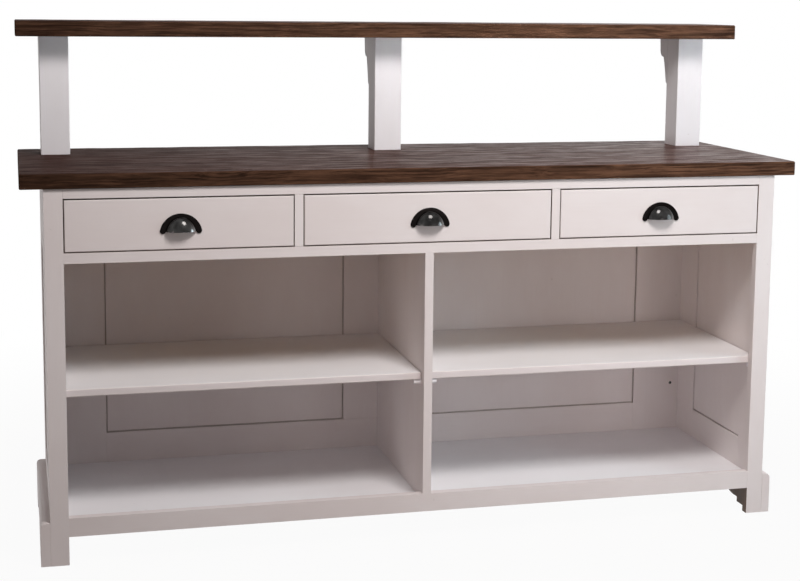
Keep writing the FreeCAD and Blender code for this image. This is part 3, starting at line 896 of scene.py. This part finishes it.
def turnedModel(name, shape, material):
    sides = shape["sides"]
    turns = [2 * math.pi * k / sides for k in range(sides)]
    rings = [[Vector((along, radius * math.cos(t), radius * math.sin(t))) for t in turns]
             for along, radius in shape["outline"]]
    return pieceFrom(name, *loft(rings), material, shape["sharpFrom"])


shelfPin = {     # outline along the pin from the wall's face, with its radius
    "outline": ((-0.008, 0.0052), (-0.0072, 0.006), (0.0156, 0.006), (0.0165, 0.0056), (0.017, 0.0046)),
    "sides": 28,
    "sharpFrom": 40.0,
    "bury": 0.008,
    "nearDivider": 0.4,
}
pinModel = turnedModel("pinModel", shelfPin, finishes["cleanPaint"])


def pinPlaces():
    # each loose solid of the CAD node is one pin
    places = []
    work = bmesh.new()
    work.from_mesh(nodes["shelf_pins"].data)
    bmesh.ops.remove_doubles(work, verts=work.verts, dist=meshCare["weldAt"])
    left = set(work.verts)
    while left:
        stack, island = [left.pop()], []
        while stack:
            v = stack.pop()
            island.append(v.co.copy())
            for e in v.link_edges:
                o = e.other_vert(v)
                if o in left:
                    left.remove(o)
                    stack.append(o)
        low = Vector(min(c[i] for c in island) for i in range(3))
        high = Vector(max(c[i] for c in island) for i in range(3))
        places.append((low, high))
    work.free()
    return sorted(places, key=lambda b: tuple(b[0]))


pinPoints, pinTurns = [], []
for low, high in pinPlaces():
    # a pin points into the compartment: away from the outer walls and from the divider
    middle = (low + high) / 2
    nearDivider = abs(middle.x) < shelfPin["nearDivider"]
    outward = 1 if (middle.x > 0) == nearDivider else -1
    wallX = low.x + shelfPin["bury"] if outward > 0 else high.x - shelfPin["bury"]
    pinPoints.append((wallX, middle.y, middle.z))
    pinTurns.append((0, 0, 0) if outward > 0 else (0, 0, math.pi))
pins = setPieces("shelfPins", pinModel, pinPoints, pinTurns, finishes["cleanPaint"])
settle(pins, "carcass", "white_paint", "shelf_pins")
print("shelf pins set:", len(pinPoints))

pullScrew = {    # outline along the screw from its tip, with its radius; the head ends in a small socket
    "outline": ((0.0, 0.0012), (0.0012, 0.00195), (0.0259, 0.00195), (0.0261, 0.0039), (0.0276, 0.0040),
                (0.0284, 0.0034), (0.0286, 0.0026), (0.0286, 0.0014), (0.0276, 0.0013)),
    "sides": 20,
    "sharpFrom": 40.0,
}
screwModel = turnedModel("screwModel", pullScrew, finishes["steel"])
for side in drawers:
    low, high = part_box("drawer_%s_screws" % side)
    z, radius = (low.z + high.z) / 2, (high.z - low.z) / 2
    points = [(low.x + radius, low.y, z), (high.x - radius, low.y, z)]
    piece = setPieces("pullScrews_" + side, screwModel, points, [(0, 0, math.pi / 2)] * 2, finishes["steel"])
    settle(piece, "drawer_" + side, "steel", "drawer_%s_screws" % side)
for model in (pinModel, screwModel):
    bpy.data.objects.remove(model)
print("pull screws set")

# boards that keep their CAD shape: finish along each board, edges eased by hand
boardFinish = (
    ("barePine_y", ("drawer_runners", "drawer_kickers",
                    "drawer_left_sides", "drawer_mid_sides", "drawer_right_sides")),
    ("barePine_x", ("drawer_left_back", "drawer_mid_back", "drawer_right_back",
                    "drawer_left_bottom", "drawer_mid_bottom", "drawer_right_bottom")),
    ("whitePaint_x", ("top_rail", "middle_rail", "bottom_rail", "back_rail_bottom", "back_rail_top",
                      "plinth_back", "drawer_left_front", "drawer_mid_front", "drawer_right_front")),
    ("whitePaint_y", ("side_left_top_rail", "side_left_bottom_rail", "side_right_top_rail",
                      "side_right_bottom_rail", "plinth_left", "plinth_right")),
    ("shelfPaint", ("floor_panel", "shelf_left", "shelf_right")),
    ("sidePanel", ("side_left_panel", "side_right_panel")),
    ("backPanel", ("back_panel_left", "back_panel_right")),
    ("drilledStile", ("back_stile_right",)),
    ("cleanPaint", ("post_left", "post_mid", "post_right", "corbel_left", "corbel_mid", "corbel_right")),
    ("whitePaint_z", ("front_stile_left", "front_stile_right", "drawer_muntins", "centre_divider",
                      "side_left_front_stile", "side_left_rear_stile", "side_right_front_stile",
                      "side_right_rear_stile", "back_stile_left", "back_stile_mid")),
)
edgeEase = {"width": 0.0009, "steps": 2, "from": 40.0, "flatTo": 1.0}     # the last two in degrees


def easeEdges(board):
    weld = board.modifiers.new("weld", "WELD")
    weld.merge_threshold = meshCare["weldAt"]
    flat = board.modifiers.new("flat", "DECIMATE")
    flat.decimate_type = "DISSOLVE"
    flat.angle_limit = math.radians(edgeEase["flatTo"])
    ease = board.modifiers.new("ease", "BEVEL")
    ease.width = edgeEase["width"]
    ease.segments = edgeEase["steps"]
    ease.limit_method = "ANGLE"
    ease.angle_limit = math.radians(edgeEase["from"])
    ease.use_clamp_overlap = True
    evenShading(board)


for finish, names in boardFinish:
    for name in names:
        for socket in nodes[name].material_slots:
            socket.material = finishes[finish]
        easeEdges(nodes[name])
print("boards finished:", sum(len(names) for finish, names in boardFinish))

# pale floor and a white surround
studio = {
    "floorColour": (0.31, 0.265, 0.245),
    "floorWhite": (0.955, 1.0),     # share of plain white that the camera sees, near the counter and far off
    "floorFade": (0.9, 2.4),
    "floorSize": 40.0,
    "floorDrop": 0.0005,
    "surround": 0.17,
    "surroundColour": (1.0, 0.89, 0.86),
}
plainWhite = (1, 1, 1, 1)

# soft lamps, spread in degrees
lamps = {
    "key": {"place": (0.24, -1.62, 2.42), "aim": (0.0, -0.1, 0.65), "size": 0.82,
            "power": 42.3, "spread": 180.0, "colour": (1.0, 0.975, 0.965)},
    "side": {"place": (2.20, -1.29, 0.92), "aim": (0.2, -0.29, 0.65), "size": 0.95,
             "power": 16.2, "spread": 180.0, "colour": (0.76, 0.925, 1.0)},
    "fillRight": {"place": (0.95, -2.30, 0.60), "aim": (0.52, 0.15, 0.33), "size": 1.00,
                  "power": 0.37, "spread": 32.0, "colour": (1.0, 0.97, 0.965)},
    "fillLeft": {"place": (-1.90, -2.00, 0.65), "aim": (0.75, 0.05, 0.36), "size": 1.00,
                 "power": 0.45, "spread": 32.0, "colour": (1.0, 0.91, 0.88)},
    "posts": {"place": (0.50, -3.00, 1.20), "aim": (0.30, 0.13, 1.28), "size": 2.20, "height": 0.25,
              "power": 1.0, "spread": 14.0, "colour": (0.96, 0.98, 1.0)},
    "back": {"place": (0.77, 2.90, 0.36), "aim": (0.0, 0.20, 0.45), "size": 0.60,
             "power": 38.0, "spread": 180.0, "colour": (1.0, 0.985, 0.975)},
    "leftEnd": {"place": (-3.00, 0.90, 0.36), "aim": (-0.85, 0.05, 0.45), "size": 0.60,
                "power": 6.0, "spread": 180.0, "colour": (1.0, 0.985, 0.975)},
}


def makeFloor():
    half = studio["floorSize"] / 2
    mesh = bpy.data.meshes.new("studioFloor")
    corners = [(-half, -half, 0), (half, -half, 0), (half, half, 0), (-half, half, 0)]
    mesh.from_pydata(corners, [], [(0, 1, 2, 3)])
    floor = bpy.data.objects.new("studioFloor", mesh)
    scene.collection.objects.link(floor)
    floor.location.z = cadBox[0].z - studio["floorDrop"]
    material = bpy.data.materials.new("studioFloor")
    material.use_nodes = True
    tree = material.node_tree
    tree.nodes.clear()
    matt = addNode(tree, "ShaderNodeBsdfDiffuse", {"Color": (*studio["floorColour"], 1.0)})
    plain = addNode(tree, "ShaderNodeEmission", {"Color": plainWhite, "Strength": 1.0})
    light = tree.nodes.new("ShaderNodeLightPath").outputs
    seen = mathNode(tree, "MAXIMUM", light["Is Camera Ray"], light["Is Glossy Ray"])
    place = tree.nodes.new("ShaderNodeTexCoord").outputs["Object"]
    away = addNode(tree, "ShaderNodeVectorMath", {0: place}, operation="LENGTH").outputs["Value"]
    white = between(tree, away, *studio["floorFade"], *studio["floorWhite"])
    mix = addNode(tree, "ShaderNodeMixShader",
                  {0: product(tree, seen, white), 1: matt.outputs[0], 2: plain.outputs[0]})
    output = tree.nodes.new("ShaderNodeOutputMaterial")
    tree.links.new(mix.outputs[0], output.inputs[0])
    mesh.materials.append(material)


def makeSurround():
    world = bpy.data.worlds.new("studioSurround")
    scene.world = world
    world.use_nodes = True
    tree = world.node_tree
    tree.nodes.clear()
    light = tree.nodes.new("ShaderNodeLightPath").outputs
    mirrored = mathNode(tree, "MAXIMUM", light["Is Glossy Ray"], light["Is Transmission Ray"])
    seen = mathNode(tree, "MAXIMUM", light["Is Camera Ray"], mirrored)
    soft = addNode(tree, "ShaderNodeBackground",
                   {"Color": (*studio["surroundColour"], 1.0), "Strength": studio["surround"]})
    white = addNode(tree, "ShaderNodeBackground", {"Color": plainWhite, "Strength": 1.0})
    mix = addNode(tree, "ShaderNodeMixShader", {0: seen, 1: soft.outputs[0], 2: white.outputs[0]})
    output = tree.nodes.new("ShaderNodeOutputWorld")
    tree.links.new(mix.outputs[0], output.inputs[0])


def makeLamp(name, s):
    lamp = bpy.data.lights.new(name + "Lamp", "AREA")
    lamp.shape = "RECTANGLE" if "height" in s else "DISK"
    lamp.size = s["size"]
    lamp.size_y = s.get("height", s["size"])
    lamp.energy = s["power"]
    lamp.spread = math.radians(s["spread"])
    lamp.color = s["colour"]
    holder = bpy.data.objects.new(name + "Lamp", lamp)
    scene.collection.objects.link(holder)
    holder.location = s["place"]
    holder.rotation_mode = "QUATERNION"
    holder.rotation_quaternion = (Vector(s["aim"]) - Vector(s["place"])).to_track_quat("-Z", "Y")


makeFloor()
makeSurround()
for name, lamp in lamps.items():
    makeLamp(name, lamp)
print("studio lit")
